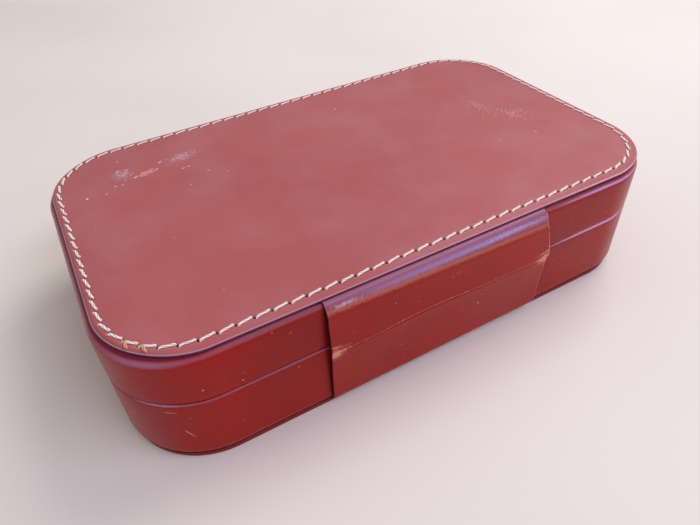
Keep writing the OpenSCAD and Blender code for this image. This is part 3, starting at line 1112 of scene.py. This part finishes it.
@dataclass
class SideLeather:
    """The leather round one half's wall, rolled over the rim and turned in under the panel."""

    case: CaseSizes
    half: Half
    thickness: float = 1.2
    turn_in: float = 14.0  # how far in from the wall it ends, under the panel
    wave: float = 0.07  # how uneven its outer face is
    tail: float = 0.85  # thickness of the hinge cover's tail, for which it is lowered

    @property
    def edge(self) -> float:
        """Height of the turned-in leather's outer side, on which the panel lies."""
        return self.case.skin_high if self.half is Half.LID else self.case.skin_low

    @property
    def rim(self) -> float:
        """Height of the rim at the seam."""
        return self.case.lid_rim if self.half is Half.LID else self.case.base_rim

    def outer(self) -> list[tuple[float, float]]:
        """Outer side of the section.

        Returns:
            Insets and heights, from the turned-in end to the inner rim.
        """
        up, r, rim_r = self.half.up, self.case.shoulder_r, self.case.rim_r
        # The step between the second and the third point is where the hinge cover's tail ends.
        return [
            *((inset, self.edge) for inset in (self.turn_in, 10.2, 10.05)),
            *((x, self.edge - up * (r - y)) for x, y in arc((r, 0), r, 90, 180, 10)),
            *((x, self.rim + up * (rim_r + y)) for x, y in arc((rim_r, 0), rim_r, 180, 270, 7)),
            (self.case.frame_in, self.rim)
        ]

    def inner(self) -> list[tuple[float, float]]:
        """Inner side of the section.

        Returns:
            Insets and heights, back from the inner rim to the turned-in end.
        """
        t, up, r = self.thickness, self.half.up, self.case.shoulder_r
        near_rim = ((self.case.frame_in, t), (t + 0.4, t), (t, t + 0.4))
        near_edge = ((t, r), (r, t), (self.turn_in, t))
        return [
            *((inset, self.rim + up * depth) for inset, depth in near_rim),
            *((inset, self.edge - up * depth) for inset, depth in near_edge)
        ]

    def build(self) -> None:
        """Make the piece, slightly uneven as stretched leather is, and let in for the hinge cover."""
        case = self.case
        stations = case.outline.even_walk(2.6, 44)
        outer = densify(self.outer(), 1.6)
        section = np.concatenate([outer, densify(self.inner(), 4.0)])
        points = sweep(stations, section)
        face = points[: len(outer)]
        # Ripples of 26 mm, and half as high ones of 9 mm.
        wave = ripple(face, 26.0, 5.0 if self.half is Half.LID else 9.0) + 0.5 * ripple(face, 9.0, 2.0)
        upright = (outer[:, 0] < case.shoulder_r + 0.01).astype(float)
        shift = (wave - 0.4) * self.wave * upright[:, None]
        face[..., :2] += stations.out[None] * shift[..., None]
        self.let_in(face)
        # Painted shade: the groove under the top panel, which the panel's edge shades, is marked with the
        # cut value and darkened with the wall's edge colour.
        under = section[:, 0] > case.panel_inset + 0.1
        groove_shade = under & (section[:, 1] > case.skin_high - case.shoulder_r)
        name = f"{self.half.body}_side_leather"
        make_piece(
            f"{name}_skin", [Grid(points, looped=True)], self.calf(), "side_leather", [name],
            self.half, {"cut": np.repeat(groove_shade.astype(float), points.shape[1])}
        )

    def calf(self) -> GlazedCalf:
        """Box calf of the wall, with pale lavender painted highlights along its rounded edges, and painted
        shade in the groove under the top panel.

        Returns:
            The finish.
        """
        top, rim = self.case.skin_high, self.case.base_rim - 0.6
        painted_highlight, fleck, scratch = "#A86C7C", "#D9A48C", "#CFA09A"
        if self.half is Half.LID:
            # Painted highlights: lavender bands along the shoulder, stronger at the corner at +X and
            # beside the hinge cover towards -X; then a scratch and two flecks.
            marks = (
                Mark((0, 0, top - 1.7), (ALL_ROUND, ALL_ROUND, 1.3), painted_highlight, 0.45, patchy=0.12, soft=0.8),
                Mark((122, 69, top - 2.4), (26, 26, 1.8), "#A884AC", 0.5, patchy=0.03, soft=0.9),
                Mark((-92, 79, top - 2.2), (46, 12, 0.95), "#CBA8DC", 0.75, patchy=0.08, soft=0.8),
                Mark((116, 70, 39), (0.9, 3, 0.3), "#C98F86", 0.6, (0, 20, 0), 0.3),
                Mark((104, 79, 42), (0.5, 3, 0.5), fleck, 0.8, patchy=0.2),
                Mark((89.6, 79.5, 39.1), (0.4, 3, 0.4), fleck, 0.9, patchy=0.1)
            )
        else:
            # Painted highlights: lavender bands along the rim, stronger at the corner at +X and beside the
            # hinge cover towards -X; then two scratches and a dark mark.
            marks = (
                Mark((0, 0, rim), (ALL_ROUND, ALL_ROUND, 0.55), painted_highlight, 0.5, patchy=0.15, soft=0.7),
                Mark((126, 74, rim), (22, 16, 0.6), "#B79AC4", 0.7, patchy=0.1, soft=0.8),
                Mark((-92, 79, rim), (45, 12, 0.75), "#E0A8C8", 0.85, patchy=0.08, soft=0.7),
                Mark((116.9, 73.3, 31.3), (3.4, 2, 0.3), scratch, 0.65, (0, 4, 146), 0.3, 0.4),
                Mark((113.1, 75.5, 17.8), (3.4, 2, 0.35), scratch, 0.6, (0, 55, 153), 0.6, 0.4),
                Mark((76, 79.5, 21), (1.6, 3, 1.8), "#6C2730", 0.7, patchy=0.3, soft=0.8)
            )
        return GlazedCalf(
            name=f"box_calf_{self.half.body}_wall", colour="#9B160B", deep="#841008", film="#8E2C22",
            # Painted shade: this edge colour darkens the groove under the top panel.
            film_cover=0.3, roughness=0.27, edge="#74203A", specular=0.2, marks=marks
        )

    def let_in(self, outer: np.ndarray) -> None:
        """Lower the turned-in leather where a tail of the hinge cover lies in it.

        Args:
            outer: Points of the outer side, which are moved.
        """
        low, high = box_mm("hinge_cover_lid")
        x, y, z = outer[..., 0], outer[..., 1], outer[..., 2]
        there = (np.abs(x) < high[0] + 0.1) & (y > low[1] - 0.1)
        up = self.half.up
        z[there] = up * np.minimum(up * z[there], up * self.edge - self.tail)


# ---- the hinge cover ----


@dataclass
class HingeCover:
    """The strip of leather over the hinge: one piece, creased where it bends.

    In its section a point is its distance out from the wall, and its height.
    """

    case: CaseSizes
    half_length: float = field(init=False)  # half of the strip's length
    wall: float = field(init=False)  # y of the wall that it stands on
    bend: float = 5.0  # how far above and below the axis the strip bends
    fold_room: float = 1.55  # radius of the room round the knuckles
    leaf: float = 0.9  # thickness of the hinge leaves under it
    leaf_reach: float = 13.1  # how far the leaves reach from the axis
    tail: float = 10.0  # how far its tails are let in under the panels
    tail_t: float = 0.72  # thickness of a skived tail
    front: float = 2.9  # how far the ridge under the upper band stands out
    band: float = 5.5  # height of the sloping upper band
    crest: float = 4.0  # how far the crease stands out
    foot: float = 1.9  # how far the strip stands out above the foot

    def __post_init__(self) -> None:
        """Read the cover's length and the wall's place from the frame."""
        low, high = box_mm("hinge_cover_lid")
        self.half_length = (high[0] - low[0]) / 2
        self.wall = self.case.outline.width / 2

    def outer(self) -> np.ndarray:
        """Outer side of the section.

        Returns:
            Its points, from the tail under the top panel down to the tail under the bottom panel.
        """
        high, low, mid = self.case.skin_high, self.case.skin_low, self.case.axis[1]
        r, front, crest, foot = self.case.shoulder_r, self.front, self.crest, self.foot
        # The band's heights are from the top and the wall's are from the axis.
        band = [
            (-self.tail, -0.05), (-0.6, -0.05), (0.35, -0.35), (1.3, -2.0), (2.2, -3.7),
            (front - 0.05, -self.band), (front + 0.16, -self.band - 1.2)
        ]
        wall = [
            (front + 0.2, 13.0), (front + 0.45, 8.0), (front + 0.75, 4.0), (crest - 0.12, 1.5),
            (crest, 0.4), (crest - 0.14, -0.9), (crest - 0.5, -3.0), (crest - 0.85, -6.0),
            (foot + 0.7, -13.0), (foot + 0.3, -21.0)
        ]
        path = [(x, high + z) for x, z in band] + [(x, mid + z) for x, z in wall]
        return np.array([*path, *arc((foot - r, low + r), r, 0, -90, 10), (-self.tail, low + 0.06)])

    def inner(self) -> np.ndarray:
        """Inner side of the section, round the walls, the leaves and the knuckles.

        Returns:
            Its points, back from the lower tail to the upper one.
        """
        high, low, mid = self.case.skin_high, self.case.skin_low, self.case.axis[1]
        axis_out = self.case.axis[0] - self.wall
        gap, r = 0.05, self.case.shoulder_r
        hug = math.degrees(math.asin((r - self.tail_t) / (r + gap)))
        # Over a leaf, from its end to the knuckles: heights are from the axis.
        leaf = [
            (gap, self.leaf_reach + 0.3), (self.leaf, self.leaf_reach), (self.leaf, 6.5),
            (axis_out + 0.6, 4.2)
        ]
        path = [
            (-self.tail, low + self.tail_t), (-r, low + self.tail_t),
            *arc((-r, low + r), r + gap, -hug, 0, 6), *((x, mid - z) for x, z in leaf),
            *arc((axis_out, mid), self.fold_room, -65, 65, 12),
            *((x, mid + z) for x, z in reversed(leaf)), *arc((-r, high - r), r + gap, 0, hug, 6),
            (-r, high - self.tail_t), (-self.tail, high - self.tail_t)
        ]
        return np.array(path)

    def smooth(self, path: np.ndarray, step: float, times: int) -> np.ndarray:
        """Space a path's points evenly and round its corners a little.

        Args:
            path: Points of a side of the section.
            step: Distance between points.
            times: How often to round it.

        Returns:
            The new points.
        """
        dense = densify(path.tolist(), step)
        for _ in range(times):
            dense[1:-1] = (dense[:-2] + 2 * dense[1:-1] + dense[2:]) / 4
        return dense

    def build(self) -> None:
        """Make the strip, bent across the hinge, with its wrinkles and worn crease."""
        outer = self.smooth(self.outer(), 0.4, 3)
        section = np.concatenate([outer, self.smooth(self.inner(), 0.6, 1)])
        ends = np.array([0.0, 0.05, 0.15, 0.35, 0.7, 1.2, 1.8, 2.5, 3.3, 4.2, 5.2, 6.4, 8.0, 10.0])
        run = self.half_length
        x = np.concatenate([-run + ends, np.arange(-run + 11.4, run - 11.3, 1.3), (run - ends)[::-1]])
        tangent = np.gradient(outer, axis=0)
        normal = np.stack([-tangent[:, 1], tangent[:, 0]], axis=1)
        normal /= np.linalg.norm(normal, axis=1)[:, None]
        points = np.zeros((len(x), len(section), 3))
        points[..., 0] = x[:, None]
        points[..., 1] = self.wall + section[:, 0]
        points[..., 2] = section[:, 1]
        face = points[:, : len(outer)]
        shift = self.relief(face)
        # The cut ends are slightly rounded.
        shift -= 0.28 * (1 - np.clip((run - np.abs(x)) / 0.3, 0, 1))[:, None] ** 2
        worn, cut = np.zeros(points.shape[:2]), np.zeros(points.shape[:2])
        worn[:, : len(outer)] = self.wear(face)
        cut[[0, 1, -2, -1]] = 1.0
        face[..., 1:] += shift[..., None] * normal
        self.slant_band(face)
        self.trim(points)
        values = {"rest": points.reshape(-1, 3) * MM, "worn": worn.ravel(), "cut": cut.ravel()}
        piece = make_piece(
            "hinge_cover_leather", [Grid(points)], self.calf(),
            "cover_leather", ["hinge_cover_base", "hinge_cover_lid"], None, values
        )
        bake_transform(piece)

    def crease(self, x: np.ndarray) -> np.ndarray:
        """Height of the crease at each x: it bows up towards the middle, and wanders."""
        flat = np.stack([x, 0 * x, 0 * x], axis=-1)
        return self.case.axis[1] + 2.5 * bell(x - 10.0, 30.0) - 1.9 + 0.35 * ripple(flat, 9.0, 1.7)

    def folds(self, face: np.ndarray) -> tuple[np.ndarray, np.ndarray, np.ndarray]:
        """Where points of the outer side lie between the strip's folds and its ends.

        Args:
            face: The points.

        Returns:
            How far each is from the nearest end, above the crease, and above the second wrinkle.
        """
        from_end = self.half_length - np.abs(face[..., 0])
        crease = face[..., 2] - self.crease(face[..., 0])
        return from_end, crease, crease - 4.6 + 0.22 * from_end

    def relief(self, face: np.ndarray) -> np.ndarray:
        """How the strip's folds and its unevenness stand out of its plain section.

        Args:
            face: Points of the outer side.

        Returns:
            How far each stands out.
        """
        from_end, crease, second = self.folds(face)
        relief = 0.2 * bell(crease - 1.0, 0.6) - 0.42 * bell(crease, 0.42)
        relief -= 0.16 * bell(second, 0.35) * bell(from_end, 9.0)
        relief += 0.05 * ripple(face, 14.0, 6.0) + 0.025 * ripple(face, 4.0, 8.0)
        frayed = bell(from_end, 4.0) * bell(crease, 2.0)
        return relief - 0.3 * frayed * np.clip(0.4 + 1.5 * ripple(face, 1.2, 2.0), 0, 1)

    def wear(self, face: np.ndarray) -> np.ndarray:
        """How worn the strip is: flaked at its ends, and rubbed along its folds.

        Args:
            face: Points of the outer side.

        Returns:
            The wear of each, from 0 to 1.
        """
        from_end, crease, second = self.folds(face)
        flake = 0.76 * bell(from_end - 1.2, 5.2) * bell(crease - 0.3, 4.0)
        line = 0.56 * bell(crease - 0.7, 0.7)
        wrinkle = 0.46 * bell(second, 0.3) * bell(from_end, 11.0)
        rubbed_end = 0.6 * (from_end < 0.6) * (face[..., 0] < 0)
        return np.clip(flake + line + wrinkle + rubbed_end, 0, 0.84)

    def slant_band(self, face: np.ndarray) -> None:
        """Let the ridge under the sloping band fall by 3.5 mm towards -X.

        Args:
            face: Points of the outer side, which are moved.
        """
        x, z = face[..., 0], face[..., 2]
        ridge = self.case.skin_high - self.band
        near = smooth_step((z - ridge + 9.0) / 9.0) * smooth_step((ridge + 4.6 - z) / 4.6)
        face[..., 2] = z + (0.8 + 1.75 * (x / self.half_length - 1.0)) * near * (face[..., 1] > self.wall)

    def trim(self, points: np.ndarray) -> None:
        """Cut the strip's end at -X narrower at the top and the foot than at the crease.

        Args:
            points: All points of the strip, which are moved.
        """
        x, z = points[..., 0], points[..., 2]
        share = np.clip(-x / self.half_length, 0, 1) ** 8
        above = smooth_step((z - self.case.axis[1]) / 22.0)
        below = smooth_step((self.case.axis[1] - z) / 4.0) + smooth_step((10.0 - z) / 9.0)
        corner = 0.9 * bell(self.case.skin_high - 0.6 - z, 0.9)
        points[..., 0] = x + share * (3.3 * above + 0.8 * below + corner - 1.4)

    def calf(self) -> GlazedCalf:
        """Box calf of the strip: flexed, with painted highlights and reflections on its sloping upper
        band, pale flecks, and near-black ends that are partly edge paint and partly painted shade.

        Returns:
            The finish.
        """
        wall, top = self.wall, self.case.skin_high
        ridge = top - self.band
        slant = (0, -1.8, 0)
        return GlazedCalf(
            name="box_calf_hinge_cover", colour="#A01E14", deep="#92180E", film="#99352A", film_cover=0.4,
            # The near-black edge colour of the cut ends is edge paint, darkened further as painted shade.
            roughness=0.28, specular=0.22, edge="#2A0A10", held="rest",
            # Painted highlights and reflections on the upper band: lavender over it, a brighter streak and
            # spot, and a tan band along the ridge below; then two pale flecks.
            marks=(
                Mark((0, wall, ridge + 22), (300, 60, 24), "#96708E", 0.65, slant, 0.02, 0.1),
                Mark((-6, wall, top - 2.6), (90, 20, 2.3), "#A48CC0", 0.6, patchy=0.1, soft=0.9),
                Mark((-32, wall, top - 2.8), (34, 20, 1.3), "#C4B0E0", 0.5, patchy=0.5, soft=0.9),
                Mark((47, wall, top - 2.4), (8, 20, 1), "#CFC2EA", 0.6, patchy=0.4, soft=0.9),
                Mark((0, wall, ridge + 0.5), (300, 60, 2), "#B4705E", 0.75, slant, 0.2, 1.0),
                Mark((-18, wall + 3.2, 24), (0.5, 6, 0.5), "#E3B9A8", 0.9, patchy=0.1),
                Mark((22, wall + 3.2, 20), (0.4, 6, 0.4), "#D9A48C", 0.8, patchy=0.1)
            )
        )


# ---- the inside ----


@dataclass
class Interior:
    """The suede-faced linings, the dividers and the pads."""

    case: CaseSizes
    suede: Suede = field(default_factory=lambda: Suede("suede_buffed_lining"))
    pad_suede: Suede = field(
        default_factory=lambda: Suede("suede_buffed_pads", "#B08855", "#95703F", "#C9A273")
    )
    loose: float = 0.03  # how far a lining stays off its neighbours
    collar_in: float = 0.4  # how far the base lining's collar lies in from its outer side
    pad_r: float = 1.5  # radius of a pad's corners

    def lining(self, node: str, half: Half, section: list[tuple[float, float]], seed: float) -> None:
        """A wall's lining, swept round the case.

        Args:
            node: CAD node that it stands for.
            half: The half that carries it.
            section: Its closed section.
            seed: Shifts its unevenness.
        """
        stations = self.case.outline.even_walk(3.2, 30)
        points = sweep(stations, densify(section, 1.8, closed=True))
        shift = 0.04 * ripple(points, 11.0, seed)
        points[..., :2] -= stations.out[None] * np.abs(shift)[..., None] * 0.5
        grid = Grid(points, looped=True)
        make_piece(f"{node}_suede", [grid], self.suede, "suede_lining", [node], half)

    def linings(self) -> None:
        """Both linings. The base's one stands up past the rim as a collar."""
        outer, inner = self.case.frame_in + self.loose, self.case.lining_in - self.loose
        rim, collar = self.case.base_rim, outer + self.collar_in
        low, high = (corner[2] for corner in box_mm("base_lining"))
        r = (inner - collar) / 2
        top = arc(((inner + collar) / 2, high - r), r, 180, 0, 8)
        base = [(outer, low), (outer, rim), (collar, rim + 0.2), *top, (inner, low)]
        self.lining("base_lining", Half.BASE, base, 3.0)
        low, high = (corner[2] for corner in box_mm("lid_lining"))
        r = (inner - outer) / 2
        bottom = arc(((inner + outer) / 2, low + r), r, 0, -180, 8)
        self.lining("lid_lining", Half.LID, [(inner, high), *bottom, (outer, high)], 7.0)

    def divider(self, node: str, seed: float) -> None:
        """One divider: a card wall wrapped in suede, round along its top.

        Args:
            node: CAD node that it stands for.
            seed: Shifts its unevenness.
        """
        low, high = box_mm(node)
        middle, r = (low[0] + high[0]) / 2, (high[0] - low[0]) / 2
        path = [(-r, low[2]), *arc((0.0, high[2] - r), r, 180, 0, 12), (r, low[2])]
        section = densify(path, 1.5, closed=True)
        y = np.linspace(low[1], high[1], 60)
        points = np.zeros((len(y), len(section), 3))
        points[..., 0] = middle + section[None, :, 0]
        points[..., 1] = y[:, None]
        points[..., 2] = section[None, :, 1]
        inward = np.sign(section[:, 0])[None] * np.clip((high[2] - points[..., 2]) / 6.0, 0, 1)
        points[..., 0] -= inward * 0.06 * (1 + ripple(points, 13.0, seed))
        grid = Grid(points)
        make_piece(f"{node}_suede", [grid], self.suede, "suede_lining", [node], Half.BASE)

    def pad(self, node: str, half: Half, seed: float) -> None:
        """A thin firm pad: glued to its panel, crowned on its open side, pulled down round its rim.

        Args:
            node: CAD node that it stands for.
            half: The half that carries it.
            seed: Shifts its unevenness.
        """
        low, high = box_mm(node)
        thick = high[2] - low[2]
        glued = low[2] if half is Half.BASE else high[2]
        rim = self.pad_rim(low, high)
        middle = (low[:2] + high[:2]) / 2
        half_size = (high[:2] - low[:2]) / 2
        spine = np.maximum(half_size - half_size.min(), 0.0)
        core = middle + np.clip(rim - middle, -spine, spine)
        # Share of the way in from the rim, and the height there as a share of the thickness.
        rise = (
            (0.0, 0.0), (0.0, 0.22), (0.006, 0.42), (0.02, 0.6), (0.045, 0.74), (0.08, 0.84), (0.14, 0.9),
            (0.24, 0.945), (0.38, 0.975), (0.56, 0.99), (0.76, 1.0), (0.93, 1.0)
        )
        rings = []
        for share, level in rise:
            z = np.full(len(rim), glued - half.up * thick * level)
            ring = np.column_stack([rim + (core - rim) * share, z])
            if level > 0:
                sag = (1 - np.abs(ripple(ring, 24.0, seed))) * 0.1 * min(1.0, share * 12)
                ring[:, 2] += half.up * (0.1 - sag) * thick * 0.5
            rings.append(ring)
        grid = Grid(np.array(rings))
        piece = make_piece(f"{node}_suede", [grid], self.pad_suede, "suede_pad", [node], half)

    def pad_rim(self, low: np.ndarray, high: np.ndarray) -> np.ndarray:
        """Outline of a pad: the inside of the case, cut square where its neighbour begins.

        Args:
            low: Lowest corner of its box.
            high: Highest corner of its box.

        Returns:
            One row of x and y for each point, anticlockwise.
        """
        outline, r = self.case.outline, self.pad_r
        inset = outline.width / 2 - high[1]
        ring = outline.even_walk(2.5, 40).at(inset)
        kept = ring[(ring[:, 0] > low[0] + r) & (ring[:, 0] < high[0] - r)]
        corners = []
        for sx, x in ((1, high[0]), (-1, low[0])):
            if abs(x) < outline.length / 2 - inset - 1:
                for sy in (1, -1):
                    start = math.degrees(math.atan2(sy, sx)) - 45
                    corners += arc((x - sx * r, sy * (high[1] - r)), r, start, start + 90, 5)
                corners += [(x, y) for y in np.linspace(low[1] + 4, high[1] - 4, 40)]
            else:
                kept = np.concatenate([kept, ring[np.abs(ring[:, 0] - x) <= r]])
        points = np.unique(np.round(np.concatenate([kept, np.array(corners).reshape(-1, 2)]), 6), axis=0)
        turn = np.arctan2(*(points - (low[:2] + high[:2]) / 2).T[::-1]) + math.pi
        return points[np.argsort(turn % (2 * math.pi))]

    def build(self) -> None:
        """Make everything inside."""
        self.linings()
        for i in (1, 2, 3):
            self.divider(f"divider_{i}", 2.0 * i)
        for i in (1, 2, 3, 4):
            self.pad(f"floor_pad_{i}", Half.BASE, 3.0 * i)
        self.pad("lid_pad", Half.LID, 1.0)


# ---- what the CAD model already shapes ----


@dataclass
class Carcass:
    """The wooden walls, boards, card and hinge, which keep their CAD shapes."""

    beech: Sequence[str] = ("base_frame", "lid_frame", "base_floor_board", "lid_top_board")
    card: Sequence[str] = ("base_infill", "lid_infill")
    brass: Sequence[str] = (
        "hinge_leaf_base", "hinge_leaf_lid", "hinge_pin", "hinge_screws_base", "hinge_screws_lid"
    )

    def dress(self) -> None:
        """Give each node its finish."""
        kinds = ((self.beech, BentBeech()), (self.card, PulpCard()), (self.brass, DrawnBrass()))
        for nodes, finish in kinds:
            for node in nodes:
                NODES[node].data.materials.clear()
                NODES[node].data.materials.append(finish.material())
                log.info("%s: %s", node, finish.name)


# ---- studio ----


@dataclass
class Studio:
    """Plain pale floor, soft light and the camera."""

    case: CaseSizes
    # X and y of the place on the top face that the camera looks at.
    aim: tuple[float, float] = (36.5, 66.6)
    azimuth: float = 152.46  # turn of the camera about Z, in degrees
    elevation: float = 41.0  # its height over the horizon, in degrees
    roll: float = -3.12  # its turn about its own line of sight, in degrees
    distance: float = 221.5  # its distance from the aim
    lens: float = 29.56  # focal length in millimetres
    floor_size: float = 6.0  # half of the floor's length, in metres

    def camera(self) -> None:
        """Place the camera over the hinge side, near one corner."""
        a, e = math.radians(self.azimuth), math.radians(self.elevation)
        back = Vector((math.sin(a) * math.cos(e), -math.cos(a) * math.cos(e), math.sin(e)))
        aim = Vector((*self.aim, self.case.top_face))
        data = bpy.data.cameras.new("camera")
        data.lens, data.sensor_width = self.lens, 36.0
        data.clip_start = 0.01
        camera = bpy.data.objects.new("camera", data)
        camera.location = (aim + back * self.distance) * MM
        facing = (-back).to_track_quat("-Z", "Y")
        camera.rotation_mode = "QUATERNION"
        camera.rotation_quaternion = facing @ Euler((0, 0, math.radians(self.roll))).to_quaternion()
        bpy.context.scene.collection.objects.link(camera)
        bpy.context.scene.camera = camera

    def floor(self) -> None:
        """A large pale floor at the height of the resting face."""
        size = self.floor_size
        corners = [(-size, -size, 0), (size, -size, 0), (size, size, 0), (-size, size, 0)]
        mesh = bpy.data.meshes.new("floor")
        mesh.from_pydata(corners, [], [(0, 1, 2, 3)])
        tree = Tree("studio_floor_paper", specular_ior_level=0.1)
        paper = tree.mottle(tree.place(), 260.0, 2.0)
        colour = tree.lay("#E6E1DA", "#E2DCD5", paper, 0.35, 0.65)
        mesh.materials.append(tree.finish(colour, paper, (0.85, 0.95), paper, 0.01))
        floor = bpy.data.objects.new("floor", mesh)
        bpy.context.scene.collection.objects.link(floor)

    def softbox(
        self, name: str, at: Sequence[float], size: tuple[float, float], power: float, colour: str
    ) -> None:
        """A flat soft light that faces the case.

        Args:
            name: Its name.
            at: Its place in metres.
            size: Its length and width in metres.
            power: Its power in watts.
            colour: Its colour.
        """
        data = bpy.data.lights.new(name, "AREA")
        data.shape, data.size, data.size_y = "RECTANGLE", *size
        data.energy = power
        data.color = linear(colour)[:3]
        light = bpy.data.objects.new(name, data)
        light.location = at
        light.rotation_mode = "QUATERNION"
        light.rotation_quaternion = (-Vector(at)).to_track_quat("-Z", "Y")
        bpy.context.scene.collection.objects.link(light)

    def light(self) -> None:
        """A large cool softbox over and behind the case, and a pale room round it."""
        self.softbox("key_softbox", (-0.95, -0.3, 1.2), (0.8, 0.8), 11.0, "#FFF9F5")
        self.softbox("sky_softbox", (-0.5, 0.85, 1.2), (1.1, 0.4), 10.0, "#E4DEFF")
        world = bpy.data.worlds.new("room")
        world.use_nodes = True
        background = world.node_tree.nodes["Background"]
        background.inputs["Color"].default_value = linear("#F1ECEC")
        background.inputs["Strength"].default_value = 0.58
        bpy.context.scene.world = world

    def build(self) -> None:
        """Set up the studio."""
        self.camera()
        self.floor()
        self.light()
        bpy.context.scene.view_settings.view_transform = "Standard"


def main() -> None:
    """Build the looks of the case, piece by piece."""
    logging.basicConfig(level=logging.INFO, format="%(name)s: %(message)s")
    case = CaseSizes.from_frame()
    Studio(case).build()
    panels = Panels(case, StitchRow(case))
    panels.top()
    panels.stitching()
    panels.bottom()
    for half in Half:
        SideLeather(case, half).build()
    HingeCover(case).build()
    Interior(case).build()
    Carcass().dress()


if __name__ == "__main__":
    main()
